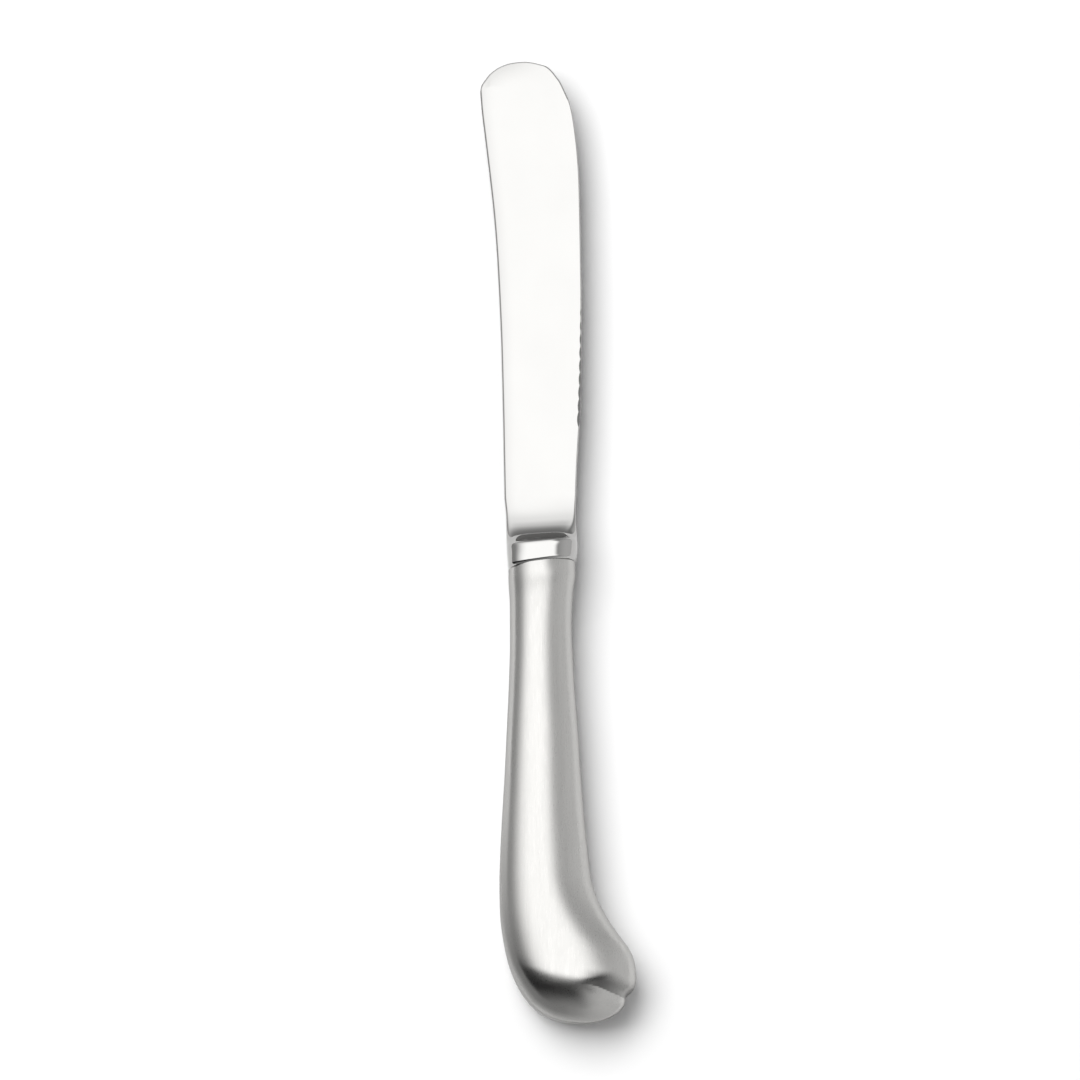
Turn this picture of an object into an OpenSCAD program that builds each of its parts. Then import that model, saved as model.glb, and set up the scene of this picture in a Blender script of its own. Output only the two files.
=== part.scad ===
/* [Overall] */
// Reach of the blade from the heel to the rounded tip
blade_length = 84; // [70:1:105]
// Length of the polished neck between the heel and the handle joint
bolster_length = 6.1; // [5:0.1:9]
// Length of the handle from the neck joint to the bottom of the butt
handle_length = 81.1; // [70:0.1:100]

/* [Blade] */
// Widest sideways spread of the blade, from the swept back corner to the belly
blade_spread = 17.2; // [15:0.1:20]
// Thickness of the back of the blade at the heel
blade_heel_thickness = 1.7; // [1.5:0.1:2.2]
// Thickness of the back of the blade at the tip
blade_tip_thickness = 1.1; // [1:0.1:1.4]
// Thickness of the cutting side at the belly
blade_edge_thickness = 0.5; // [0.4:0.05:0.9]
// Back of the blade from the heel to the swept corner, as shares of the spread and the length
blade_back_shares = [
    [-0.356, -0.02],
    [-0.366, 0.03],
    [-0.373, 0.085],
    [-0.3795, 0.157],
    [-0.3864, 0.242],
    [-0.3953, 0.327],
    [-0.4061, 0.412],
    [-0.4228, 0.497],
    [-0.4435, 0.582],
    [-0.473, 0.667],
    [-0.5152, 0.752],
    [-0.5624, 0.837],
    [-0.5978, 0.901],
    [-0.6096, 0.935]
];
// Rounded tip from the swept corner over the top to the belly, as shares
blade_tip_shares = [
    [-0.6096, 0.935],
    [-0.6, 0.948],
    [-0.569, 0.9588],
    [-0.511, 0.9745],
    [-0.413, 0.9892],
    [-0.3, 0.9973],
    [-0.167, 1],
    [-0.0985, 0.9985],
    [-0.0197, 0.9945],
    [0.0295, 0.9917],
    [0.064, 0.9873],
    [0.0985, 0.9805],
    [0.1379, 0.9698],
    [0.177, 0.9585],
    [0.2155, 0.9421],
    [0.259, 0.9218]
];
// Cutting side from the belly down to the heel, as shares
blade_edge_shares = [
    [0.259, 0.9218],
    [0.2825, 0.9065],
    [0.3104, 0.877],
    [0.331, 0.8446],
    [0.3475, 0.8135],
    [0.368, 0.75],
    [0.378, 0.665],
    [0.385, 0.58],
    [0.3904, 0.495],
    [0.3884, 0.41],
    [0.3845, 0.325],
    [0.3738, 0.24],
    [0.361, 0.198],
    [0.3414, 0.113],
    [0.3346, 0.05],
    [0.334, -0.02]
];
// Points drawn between two neighbouring outline points
blade_curve_steps = 3; // [2:1:4]

/* [Serration] */
// Number of fine scallops ground into the cutting side
scallop_count = 10; // [6:1:14]
// Distance from one scallop to the next
scallop_pitch = 2.38; // [2:0.01:2.5]
// Height above the heel where the first scallop is centred
scallop_start = 20.2; // [15:0.1:26]
// Width of the ground bevel at the first scallop, in from the edge
scallop_depth = 0.42; // [0.3:0.02:0.5]
// Width of the bevel at the last scallop towards the tip, as a share of the first
scallop_end_share = 0.4; // [0.3:0.05:1]
// Radius of the grinding wheel's rim
scallop_radius = 7; // [5:0.5:10]
// Slope of the ground bevel from the blade's face
scallop_slope = 40; // [30:1:50]
// Reach of a grinding cut to either side of the edge
scallop_reach = 4; // [3:0.5:6]

/* [Bolster] */
// Half width of the neck on the back side
neck_back_reach = 6.05; // [5.5:0.05:6.4]
// Half width of the neck on the cutting side
neck_edge_reach = 6.05; // [5.5:0.05:6.4]
// Half thickness of the polished neck
neck_half_thickness = 4.6; // [4:0.1:5]
// Lean of the heel and of the neck joint across the knife, in degrees
neck_lean = 8; // [0:1:10]
// Distance from the heel line up to where the hollow curve starts on the blade
fillet_reach = 6.8; // [5:0.1:9]
// Places of the sections along the hollow curve and the neck, as shares
bolster_place_shares = [0, 0.2, 0.36, 0.48, 0.56, 0.625, 0.68, 0.72, 0.76, 0.81, 0.9, 0.985, 1];
// Rise of the front face at those places, from the blade's face to the full neck
bolster_rise_shares = [-0.03, 0.01, 0.07, 0.19, 0.34, 0.525, 0.75, 0.94, 0.995, 1, 1, 0.975, 0.92];
// Half width on the back side at those places
bolster_back_shares = [1.02, 1.01, 1.003, 1, 1, 0.998, 0.995, 0.992, 0.988, 0.98, 0.965, 0.94, 0.89];
// Half width on the cutting side at those places
bolster_edge_shares = [0.93, 0.936, 0.946, 0.959, 0.974, 0.987, 0.994, 0.998, 1, 0.998, 0.985, 0.96, 0.91];
// Squareness of the section on the back side at those places, 2 being a plain oval
bolster_back_square_shares = [14, 11, 9, 7.5, 6, 5, 4.2, 3.7, 3.5, 3.6, 4, 4.2, 4.2];
// Squareness of the section on the cutting side at those places
bolster_edge_square_shares = [24, 20, 13, 7, 4.2, 3.4, 3, 2.8, 2.7, 2.6, 2.6, 2.6, 2.6];
// Lean of the sections at those places, as shares of the neck's lean
bolster_lean_shares = [0.1, 0.15, 0.24, 0.33, 0.42, 0.5, 0.6, 0.7, 0.78, 0.87, 0.96, 1, 1];

/* [Tang] */
// Length of the spigot that plugs the neck of the handle
spigot_length = 4; // [3:0.1:6]
// Gap between the spigot and the inside of the handle
spigot_gap = 0.08; // [0.05:0.01:0.15]
// Length of the flat tang past the spigot
tang_length = 34; // [25:1:42]
// Width of the tang
tang_width = 4.6; // [3.5:0.1:5.2]
// Thickness of the tang
tang_thickness = 2.2; // [1.6:0.1:2.6]
// Diameter of the keying hole near the end of the tang
tang_hole = 2.2; // [1.5:0.1:2.4]
// Distance of the keying hole from the end of the tang
tang_hole_inset = 4; // [3:0.5:6]

/* [Handle] */
// Furthest reach of the handle's back from the centre line
handle_back_reach = 7.23; // [6.8:0.01:8]
// Furthest reach of the beak from the centre line
beak_reach = 15.99; // [14:0.01:18]
// Half thickness of the handle at the swollen butt
butt_half_thickness = 6.3; // [5.6:0.1:7]
// Wall of the pressed handle halves
shell_wall = 0.85; // [0.7:0.05:1]
// Length of the rounded end of the butt
dome_length = 7.1; // [6:0.1:8.5]
// How much further the dome reaches at the back than on the axis, as a share of its length
dome_slant_share = 0.27; // [0:0.01:0.3]
// Distance of the bottom of the butt from the centre line
butt_axis = 6.95; // [6:0.05:8]
// Height of the crease above the bottom of the butt
crease_rise = 5; // [4:0.1:6]
// Length of the rounded shoulder above the crease
shoulder_length = 3; // [2:0.1:4]
// Places along the handle's back from the neck joint to the bottom, as shares
back_place_shares = [
    0, 0.02, 0.06, 0.16, 0.26, 0.36, 0.46, 0.56, 0.63,
    0.695, 0.76, 0.795, 0.83, 0.862, 0.895, 0.924, 0.955, 1
];
// Reach of the back at those places, as shares of the furthest reach
back_reach_shares = [
    0.785, 0.79, 0.757, 0.752, 0.783, 0.832, 0.883, 0.946, 0.981,
    1, 0.985, 0.947, 0.884, 0.804, 0.682, 0.521, 0.39, 0.35
];
// Places along the inner side from the neck joint past the notch to the bottom, as shares
inner_place_shares = [
    0, 0.025, 0.058, 0.13, 0.232, 0.363, 0.493, 0.623, 0.688, 0.731, 0.775,
    0.818, 0.84, 0.862, 0.884, 0.903, 0.922, 0.934, 0.942, 0.96, 1
];
// Reach of the inner side at those places, as shares of the beak's reach
inner_reach_shares = [
    0.352, 0.355, 0.333, 0.316, 0.334, 0.381, 0.424, 0.482, 0.524, 0.588, 0.699,
    0.842, 0.922, 0.973, 0.994, 1, 0.984, 0.93, 0.9, 0.93, 0.945
];
// Places along the handle where its thickness is set, as shares
thickness_place_shares = [0, 0.02, 0.06, 0.15, 0.37, 0.65, 0.84, 0.93, 1];
// Half thickness at those places, as shares of the swollen butt
thickness_shares = [0.7, 0.72, 0.68, 0.65, 0.7, 0.845, 0.965, 1, 1];
// Places along the handle where the squareness of the section is set
square_place_shares = [0, 0.14, 0.42, 0.7, 0.93, 1];
// Squareness of the section on the back side at those places
back_square_shares = [2.7, 2.6, 2.85, 2.85, 3.1, 2.4];
// Squareness of the section on the inner side at those places
inner_square_shares = [2, 2, 2, 2.05, 2.5, 2.3];
// Crown of the section across the handle at those places, 0.5 being the middle
crown_shares = [0.475, 0.445, 0.465, 0.475, 0.43, 0.45];
// Drop of the shoulder at the crease, as a share of the thickness there
shoulder_drop_share = 0.08;
// Further drop of the shoulder towards the notch
shoulder_fall_share = 0.3;
// Sinking of the crease towards the notch, as a share of its height
crease_dip_share = 0.2;

/* [Seam and filling] */
// Thickness of the brazed seam between the handle halves
seam_thickness = 0.12; // [0.08:0.01:0.2]
// Gap left around the filling
filling_gap = 0.1; // [0.05:0.01:0.2]

/* [Fineness] */
// Points drawn across each half section
cross_steps = 22; // [16:2:24]
// Places of the sections drawn along the handle, as shares
row_place_shares = [
    0, 0.01, 0.02, 0.04, 0.06, 0.1, 0.15, 0.21, 0.28, 0.35, 0.42, 0.49,
    0.56, 0.62, 0.67, 0.71, 0.75, 0.785, 0.815, 0.84, 0.862, 0.884, 0.903, 0.915,
    0.925, 0.934, 0.94, 0.945, 0.952, 0.962, 0.973, 0.983, 0.991, 0.997, 1
];

/* [Hidden] */
neck_x = 0;
knife_length = handle_length + bolster_length + blade_length;
joint_y = handle_length;
heel_y = handle_length + bolster_length;
back_corner_x = blade_tip_shares[0][0] * blade_spread;
bolster_top_y = heel_y + fillet_reach;
seam_half = seam_thickness / 2;
shift = [-(back_corner_x + beak_reach) / 2, -knife_length / 2, butt_half_thickness];

// Smooth curves that never overshoot their points
function span_of(at, t, i = 0) = (i >= len(at) - 2 || t <= at[i + 1]) ? i : span_of(at, t, i + 1);
function rise(at, v, i) = (v[i + 1] - v[i]) / (at[i + 1] - at[i]);
function mean_rise(a, b) = a * b <= 0 ? 0 : 2 * a * b / (a + b);
function lean_at(at, v, i) =
    i == 0 ? rise(at, v, 0)
    : i == len(at) - 1 ? rise(at, v, i - 1)
    : mean_rise(rise(at, v, i - 1), rise(at, v, i));
function ease_a(s) = 2 * s * s * s - 3 * s * s + 1;
function ease_b(s) = s * s * s - 2 * s * s + s;
function ease_c(s) = 3 * s * s - 2 * s * s * s;
function ease_d(s) = s * s * s - s * s;
function along(at, v, t) =
    let (i = span_of(at, t))
    let (h = at[i + 1] - at[i])
    let (s = (t - at[i]) / h)
    ease_a(s) * v[i] + ease_b(s) * h * lean_at(at, v, i)
    + ease_c(s) * v[i + 1] + ease_d(s) * h * lean_at(at, v, i + 1);
function column(list, k) = [for (p = list) p[k]];
function travel(p, i) = i == 0 ? 0 : travel(p, i - 1) + norm(p[i] - p[i - 1]);
function travels(p) = [for (i = [0:len(p) - 1]) travel(p, i)];
function traced(p, steps) =
    let (at = travels(p), xs = column(p, 0), ys = column(p, 1))
    [
        for (i = [0:len(p) - 2])
            for (k = [0:steps - 1])
                let (t = at[i] + (at[i + 1] - at[i]) * k / steps)
                [along(at, xs, t), along(at, ys, t)]
    ];

// Section shape: height share at a place from -1 to 1 across one side
function oval(s, square) = pow(max(0, 1 - pow(abs(s), square)), 1 / square);
function mix(a, b, t) = a + (b - a) * t;
function smooth(t) = ease_c(max(0, min(1, t)));

// Blade outline in the knife's own frame
function blade_place(p) = [p[0] * blade_spread, heel_y + p[1] * blade_length];
blade_outline = [
    for (p = concat(
        traced(blade_back_shares, blade_curve_steps),
        traced(blade_tip_shares, blade_curve_steps),
        traced(blade_edge_shares, blade_curve_steps),
        [blade_edge_shares[len(blade_edge_shares) - 1]]
    )) blade_place(p)
];
blade_half_heel = blade_heel_thickness / 2;
blade_half_tip = blade_tip_thickness / 2;
blade_half_edge = blade_edge_thickness / 2;
heel_back = blade_place([blade_back_shares[0][0], 0]);
tip_back = blade_place(blade_tip_shares[0]);
belly = blade_place(blade_edge_shares[4]);
blade_u = [tip_back[0] - heel_back[0], tip_back[1] - heel_back[1], blade_half_tip - blade_half_heel];
blade_w = [belly[0] - heel_back[0], belly[1] - heel_back[1], blade_half_edge - blade_half_heel];
blade_normal = cross(blade_w, blade_u);
blade_across = -blade_normal[0] / blade_normal[2];
blade_up = -blade_normal[1] / blade_normal[2];
blade_block = blade_length * 2;
edge_table = [
    for (i = [len(blade_edge_shares) - 1:-1:0]) [blade_edge_shares[i][1], blade_edge_shares[i][0]]
];
function edge_x(y) = blade_spread * lookup((y - heel_y) / blade_length, edge_table);
function blade_half(x, y) =
    blade_half_heel + blade_across * (x - heel_back[0]) + blade_up * (y - heel_back[1]);

// Half space below the front face of the blade
module below_front_face() {
    translate([heel_back[0], heel_back[1], blade_half_heel])
        rotate([atan(blade_up * cos(atan(-blade_across))), atan(-blade_across), 0])
            translate([-blade_block, -blade_block, -blade_block])
                cube([2 * blade_block, 2 * blade_block, blade_block]);
}

module blade_plate() {
    intersection() {
        translate([0, 0, -blade_heel_thickness])
            linear_extrude(height = 2 * blade_heel_thickness)
                polygon(blade_outline);
        below_front_face();
        mirror([0, 0, 1])
            below_front_face();
    }
}

// One scallop, ground across the edge from the front to a width
module scallop(y, wide) {
    x = edge_x(y);
    z = blade_half(x, y);
    translate([x - wide, y, z])
        rotate([0, 90 + scallop_slope, 0])
            translate([-scallop_radius, 0, -scallop_reach])
                cylinder(r = scallop_radius, h = 2 * scallop_reach, $fn = 48);
}

module scallops() {
    for (k = [0:scallop_count - 1])
        scallop(
            heel_y + scallop_start + k * scallop_pitch,
            scallop_depth * mix(1, scallop_end_share, k / (scallop_count - 1))
        );
}

// Handle sizes at a place along it, 0 at the neck joint and 1 at the bottom of the butt
function back_reach_at(v) = handle_back_reach * along(back_place_shares, back_reach_shares, v);
function inner_reach_at(v) = beak_reach * along(inner_place_shares, inner_reach_shares, v);
function half_at(v) = butt_half_thickness * along(thickness_place_shares, thickness_shares, v);
function back_square_at(v) = along(square_place_shares, back_square_shares, v);
function inner_square_at(v) = along(square_place_shares, inner_square_shares, v);
function crown_at(v) = along(square_place_shares, crown_shares, v);

// Sections of the hollow curve and the neck, each a closed ring of points
ring_half = cross_steps;
function ring_x(back, edge, crown, k) =
    let (c = -cos(180 * k / ring_half))
    let (middle = mix(-back, edge, crown))
    middle + (c < 0 ? c * (middle + back) : c * (edge - middle));
function ring_z(half, back_square, edge_square, k) =
    let (c = -cos(180 * k / ring_half))
    half * oval(c, c < 0 ? back_square : edge_square);
function ring(y, lean, back, edge, half, back_square, edge_square) = [
    for (k = [0:2 * ring_half - 1])
        let (m = k <= ring_half ? k : 2 * ring_half - k)
        let (x = ring_x(back, edge, crown_shares[0], m))
        let (z = ring_z(half, back_square, edge_square, m))
        [x, y + lean * x, k <= ring_half ? z : -z]
];
bolster_span = fillet_reach + bolster_length;
bolster_rings = [
    for (i = [0:len(bolster_place_shares) - 1])
        ring(
            bolster_top_y - bolster_span * bolster_place_shares[i],
            tan(neck_lean) * bolster_lean_shares[i],
            neck_back_reach * bolster_back_shares[i],
            neck_edge_reach * bolster_edge_shares[i],
            mix(blade_half_heel, neck_half_thickness, bolster_rise_shares[i]),
            bolster_back_square_shares[i],
            bolster_edge_square_shares[i]
        )
];
spigot_inset = shell_wall + spigot_gap;
spigot_share = spigot_length / joint_y;
spigot_rings = [
    for (v = [0, spigot_share])
        ring(
            joint_y * (1 - v),
            tan(neck_lean),
            back_reach_at(v) - spigot_inset,
            inner_reach_at(v) - spigot_inset,
            half_at(v) - spigot_inset,
            back_square_at(v),
            inner_square_at(v)
        )
];
neck_rings = concat(bolster_rings, spigot_rings);

// Skin over a stack of closed rings, with flat ends
module stacked_rings(rings) {
    n = len(rings[0]);
    m = len(rings);
    polyhedron(
        points = [for (r = rings) for (p = r) p],
        faces = concat(
            [[for (i = [n - 1:-1:0]) i]],
            [[for (i = [0:n - 1]) (m - 1) * n + i]],
            [
                for (j = [0:m - 2])
                    for (i = [0:n - 1])
                        let (k = (i + 1) % n)
                        each [
                            [j * n + i, j * n + k, (j + 1) * n + k],
                            [j * n + i, (j + 1) * n + k, (j + 1) * n + i]
                        ]
            ]
        )
    );
}

tang_end_y = joint_y - spigot_length - tang_length;
module tang(gap) {
    translate([-tang_width / 2 - gap, tang_end_y - gap, -tang_thickness / 2 - gap])
        cube([tang_width + 2 * gap, tang_length + spigot_length / 2 + gap, tang_thickness + 2 * gap]);
}

module tang_hole_pin(gap) {
    translate([neck_x, tang_end_y + tang_hole_inset, -tang_thickness])
        cylinder(r = tang_hole / 2 - gap, h = 2 * tang_thickness, $fn = 32);
}

// Share of its height that the butt keeps at a rise above its bottom and a place across
function end_share(rise, s) =
    let (dome = sqrt(1 - pow(max(0, 1 - rise / (dome_length * (1 - dome_slant_share * s))), 2)))
    let (crease = crease_rise * (1 - crease_dip_share * smooth((s - 0.3) / 0.7)))
    let (far = smooth((s - 0.1) / 0.9))
    let (drop = shoulder_drop_share + shoulder_fall_share * far)
    let (bend = max(0, min(1, 1 - (rise - crease) / (shoulder_length * (1 + 1.5 * far)))))
    let (facet = (1 - drop) * sqrt(min(1, rise / crease)))
    mix(dome, rise > crease ? 1 - drop * pow(bend, 2.5) : facet, smooth(s));

// Half section of the handle at a place along it, drawn in from the outside by an inset
function body_row(v, inset, steps) =
    let (rise = joint_y * (1 - v), lean = tan(neck_lean) * (1 - smooth(v / 0.9)))
    let (narrow = sqrt(1 - pow(max(0, 1 - rise / dome_length), 2.5)))
    let (left = mix(butt_axis, inset - back_reach_at(v), narrow))
    let (right = mix(butt_axis, inner_reach_at(v) - inset, narrow))
    let (half = half_at(v) - inset, middle = mix(left, right, crown_at(v)))
    let (lift = inset * max(0, (v - 0.9) / 0.1))
    [
        for (k = [0:steps])
            let (c = -cos(180 * k / steps))
            let (x = middle + (c < 0 ? c * (middle - left) : c * (right - middle)))
            let (z = half * end_share(rise, c) * oval(c, c < 0 ? back_square_at(v) : inner_square_at(v)))
            [x, rise + lean * x + lift, k == 0 || k == steps || v == 1 ? 0 : z]
    ];
function half_rows(inset, start, steps) = [
    for (p = row_place_shares) body_row(mix(start, 1, p), inset, steps)
];

// Numbering of a grid whose last row is one point
grid_rows = len(row_place_shares) - 1;
function index_of(j, k, steps) = j * (steps + 1) + (j == grid_rows ? 0 : k);
function triangles(a, b, c, d) = [
    for (t = [[a, b, c], [a, c, d]])
        if (t[0] != t[1] && t[1] != t[2] && t[0] != t[2]) t
];
function grid_faces(steps, first) = [
    for (j = [0:grid_rows - 1])
        for (k = [0:steps - 1])
            each triangles(
                first + index_of(j, k, steps),
                first + index_of(j, k + 1, steps),
                first + index_of(j + 1, k + 1, steps),
                first + index_of(j + 1, k, steps)
            )
];
function turned(faces) = [for (f = faces) [f[2], f[1], f[0]]];
function border(steps) = concat(
    [for (j = [0:grid_rows]) index_of(j, 0, steps)],
    [for (j = [grid_rows - 1:-1:0]) index_of(j, steps, steps)]
);
function strip_faces(loop, offset_number) = [
    for (i = [0:len(loop) - 2])
        each triangles(
            loop[i],
            loop[i + 1],
            loop[i + 1] + offset_number,
            loop[i] + offset_number
        )
];
function flat_points(rows) = [for (r = rows) for (p = r) p];
function lifted(points, half) = [for (p = points) [p[0], p[1], seam_half + p[2] * (half - seam_half) / half]];

outer_points = flat_points(half_rows(0, 0, cross_steps));
inner_points = flat_points(half_rows(shell_wall, 0, cross_steps));
shell_points = concat(
    lifted(outer_points, butt_half_thickness),
    lifted(inner_points, butt_half_thickness)
);
shell_border = border(cross_steps);
shell_count = len(outer_points);
neck_strip = [for (k = [cross_steps:-1:0]) k];

// One pressed half of the handle, hollow behind, its rim flat on the seam
module half_shell() {
    polyhedron(
        points = shell_points,
        faces = concat(
            grid_faces(cross_steps, 0),
            turned(grid_faces(cross_steps, shell_count)),
            strip_faces(shell_border, shell_count),
            strip_faces(neck_strip, shell_count)
        )
    );
}

filling_start = spigot_share + filling_gap / joint_y;
filling_steps = cross_steps / 2;
filling_top = flat_points(half_rows(shell_wall + filling_gap, filling_start, filling_steps));
filling_low = [for (p = filling_top) [p[0], p[1], -p[2]]];
filling_count = len(filling_top);
filling_rim = border(filling_steps);
function on_rim(i) = len(search(i, filling_rim)) > 0;
function low_index(i) = on_rim(i) ? i : i + filling_count;
function low_faces(faces) = [for (f = faces) [low_index(f[2]), low_index(f[1]), low_index(f[0])]];

module filling_body() {
    faces = grid_faces(filling_steps, 0);
    polyhedron(
        points = concat(filling_top, filling_low),
        faces = concat(
            faces,
            low_faces(faces),
            [concat(
                [for (k = [filling_steps:-1:0]) k],
                [for (k = [1:filling_steps - 1]) low_index(k)]
            )]
        )
    );
}

// Blade, neck, spigot and tang, forged as one
module blade() {
    color("#dedddb")
        difference() {
            union() {
                blade_plate();
                stacked_rings(neck_rings);
                tang(0);
            }
            scallops();
            tang_hole_pin(0);
        }
}

// Front half of the hollow handle
module handle_front() {
    color("#c9c8c5")
        half_shell();
}

// Back half of the hollow handle
module handle_back() {
    color("#c2c1be")
        mirror([0, 0, 1])
            half_shell();
}

// Thin line of braze that joins the two halves
module seam_braze() {
    ring = concat(
        [for (i = shell_border) [outer_points[i][0], outer_points[i][1]]],
        [
            for (i = [len(shell_border) - 1:-1:0])
                let (p = inner_points[shell_border[i]])
                [p[0], p[1]]
        ]
    );
    color("#b9a878")
        translate([0, 0, -seam_half])
            linear_extrude(height = seam_thickness)
                polygon(ring);
}

// Cement that fills the hollow handle and holds the tang
module handle_filling() {
    color("#8d8a83") {
        difference() {
            filling_body();
            tang(filling_gap);
        }
        tang_hole_pin(filling_gap);
    }
}

translate(shift) {
    blade();
    handle_front();
    handle_back();
    seam_braze();
    handle_filling();
}
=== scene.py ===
"""Butter knife with a polished blade and a satin hollow handle, dressed over its CAD part."""

import math

import bpy
import numpy as np
from bpy.props import FloatProperty, FloatVectorProperty, PointerProperty
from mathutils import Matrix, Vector


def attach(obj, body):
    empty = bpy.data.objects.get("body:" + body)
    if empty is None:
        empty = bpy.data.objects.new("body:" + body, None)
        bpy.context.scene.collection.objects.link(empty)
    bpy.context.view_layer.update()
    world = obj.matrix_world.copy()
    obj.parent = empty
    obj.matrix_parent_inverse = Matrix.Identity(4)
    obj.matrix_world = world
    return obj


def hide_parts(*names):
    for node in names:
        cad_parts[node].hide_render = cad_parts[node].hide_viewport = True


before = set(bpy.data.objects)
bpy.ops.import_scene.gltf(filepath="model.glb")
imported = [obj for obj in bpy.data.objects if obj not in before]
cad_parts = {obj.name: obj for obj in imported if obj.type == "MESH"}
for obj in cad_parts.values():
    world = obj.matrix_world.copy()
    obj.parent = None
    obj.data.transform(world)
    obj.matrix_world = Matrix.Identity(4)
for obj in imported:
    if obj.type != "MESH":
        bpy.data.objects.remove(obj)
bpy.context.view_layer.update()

bl_info = {
    "name": "Butter Knife",
    "version": (1, 0, 0),
    "blender": (4, 5, 0),
    "location": "3D View > Sidebar > Butter Knife",
    "description": "Polished blade, satin handle halves and soft studio for a butter knife",
    "category": "Object",
}

# Blade outline as shares of its spread and its length, the same places as the solids use.
# BELLY is the place in EDGE_SHARES where the cutting side's thickness is set.
BACK_SHARES = np.array([
    [-0.356, -0.02], [-0.366, 0.03], [-0.373, 0.085], [-0.3795, 0.157], [-0.3864, 0.242],
    [-0.3953, 0.327], [-0.4061, 0.412], [-0.4228, 0.497], [-0.4435, 0.582], [-0.473, 0.667],
    [-0.5152, 0.752], [-0.5624, 0.837], [-0.5978, 0.901], [-0.6096, 0.935],
])
TIP_SHARES = np.array([
    [-0.6096, 0.935], [-0.6, 0.948], [-0.569, 0.9588], [-0.511, 0.9745], [-0.413, 0.9892],
    [-0.3, 0.9973], [-0.167, 1], [-0.0985, 0.9985], [-0.0197, 0.9945], [0.0295, 0.9917],
    [0.064, 0.9873], [0.0985, 0.9805], [0.1379, 0.9698], [0.177, 0.9585], [0.2155, 0.9421],
    [0.259, 0.9218],
])
EDGE_SHARES = np.array([
    [0.259, 0.9218], [0.2825, 0.9065], [0.3104, 0.877], [0.331, 0.8446], [0.3475, 0.8135],
    [0.368, 0.75], [0.378, 0.665], [0.385, 0.58], [0.3904, 0.495], [0.3884, 0.41],
    [0.3845, 0.325], [0.3738, 0.24], [0.361, 0.198], [0.3414, 0.113], [0.3346, 0.05],
    [0.334, -0.02],
])
BELLY = 4

# Neck from the start of the hollow curve to the handle joint: half width on both sides,
# squareness of the section on both sides, and how much of the full lean it has
NECK_PLACES = [0, 0.2, 0.36, 0.48, 0.56, 0.625, 0.68, 0.72, 0.76, 0.81, 0.9, 0.985, 1]
NECK_BACK = [1.02, 1.01, 1.003, 1, 1, 0.998, 0.995, 0.992, 0.988, 0.98, 0.965, 0.94, 0.89]
NECK_EDGE = [0.93, 0.936, 0.946, 0.959, 0.974, 0.987, 0.994, 0.998, 1, 0.998, 0.985, 0.96, 0.91]
NECK_BACK_SQUARE = [14, 11, 9, 7.5, 6, 5, 4.2, 3.7, 3.5, 3.6, 4, 4.2, 4.2]
NECK_EDGE_SQUARE = [24, 20, 13, 7, 4.2, 3.4, 3, 2.8, 2.7, 2.6, 2.6, 2.6, 2.6]
NECK_LEAN = [0.1, 0.15, 0.24, 0.33, 0.42, 0.5, 0.6, 0.7, 0.78, 0.87, 0.96, 1, 1]

# Rise of the neck's face: where it reaches its full height, where in that it is steepest,
# how steep it gets in degrees, the power by which it bends up, and its rounded lip
RISE_TOP = 0.77
RISE_STEEPEST = 0.9
RISE_SLOPE = 56
RISE_POWER = 2.6
LIP_START = 0.965
LIP_DROP = 0.08

# Shares of the neck over which the blade's outline and its section turn into the neck's
OUTLINE_TURN = 0.3
SECTION_TURN = 0.45

# Handle from the neck joint to the bottom of the butt, reaches and thicknesses as shares
# of the largest, crown 0.5 being the middle of the section
BACK_PLACES = [
    0, 0.02, 0.06, 0.16, 0.26, 0.36, 0.46, 0.56, 0.63,
    0.695, 0.76, 0.795, 0.83, 0.862, 0.895, 0.924, 0.955, 1,
]
BACK_REACH = [
    0.785, 0.79, 0.757, 0.752, 0.783, 0.832, 0.883, 0.946, 0.981,
    1, 0.985, 0.947, 0.884, 0.804, 0.682, 0.521, 0.39, 0.35,
]
INNER_PLACES = [
    0, 0.025, 0.058, 0.13, 0.232, 0.363, 0.493, 0.623, 0.688, 0.731, 0.775,
    0.818, 0.84, 0.862, 0.884, 0.903, 0.922, 0.934, 0.942, 0.96, 1,
]
INNER_REACH = [
    0.352, 0.355, 0.333, 0.316, 0.334, 0.381, 0.424, 0.482, 0.524, 0.588, 0.699,
    0.842, 0.922, 0.973, 0.994, 1, 0.984, 0.93, 0.9, 0.93, 0.945,
]
THICK_PLACES = [0, 0.02, 0.06, 0.15, 0.37, 0.65, 0.84, 0.93, 1]
THICK = [0.7, 0.72, 0.68, 0.65, 0.7, 0.845, 0.965, 1, 1]
SQUARE_PLACES = [0, 0.14, 0.42, 0.7, 0.93, 1]
BACK_SQUARE = [2.7, 2.6, 2.85, 2.85, 3.1, 2.4]
INNER_SQUARE = [2, 2, 2, 2.05, 2.5, 2.3]
CROWN = [0.475, 0.445, 0.465, 0.475, 0.43, 0.45]

# Butt: its dome, which is longer at the back, the shoulder above the crease and the crease
DOME_SLANT = 0.27
DOME_POWER = 2.5
SHOULDER_DROP = 0.08
SHOULDER_FALL = 0.3
SHOULDER_SPREAD = 1.5
SHOULDER_POWER = 2.5
SHOULDER_SIDE = 0.1
CREASE_DIP = 0.2
CREASE_SIDE = 0.3

# Places along the handle where its lean has run out, and from where the butt keeps its wall's thickness
LEAN_END = 0.9
BUTT_WALL = 0.9

# Painted shade in the fold above the crease: its full part and its fading as shares of the crease's
# rise,
# and where it starts across, is full, and begins to fade again to half
CREASE_CORE = 0.2
CREASE_FADE = 0.42
CREASE_FROM = 0.1
CREASE_FULL = 0.5
CREASE_HALF = 0.5

# Scallops: their number, how wide the last is against the first, and the least depth that counts
SCALLOPS = 10
SCALLOP_END = 0.4
SCALLOP_SKIN = 0.000002

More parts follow.
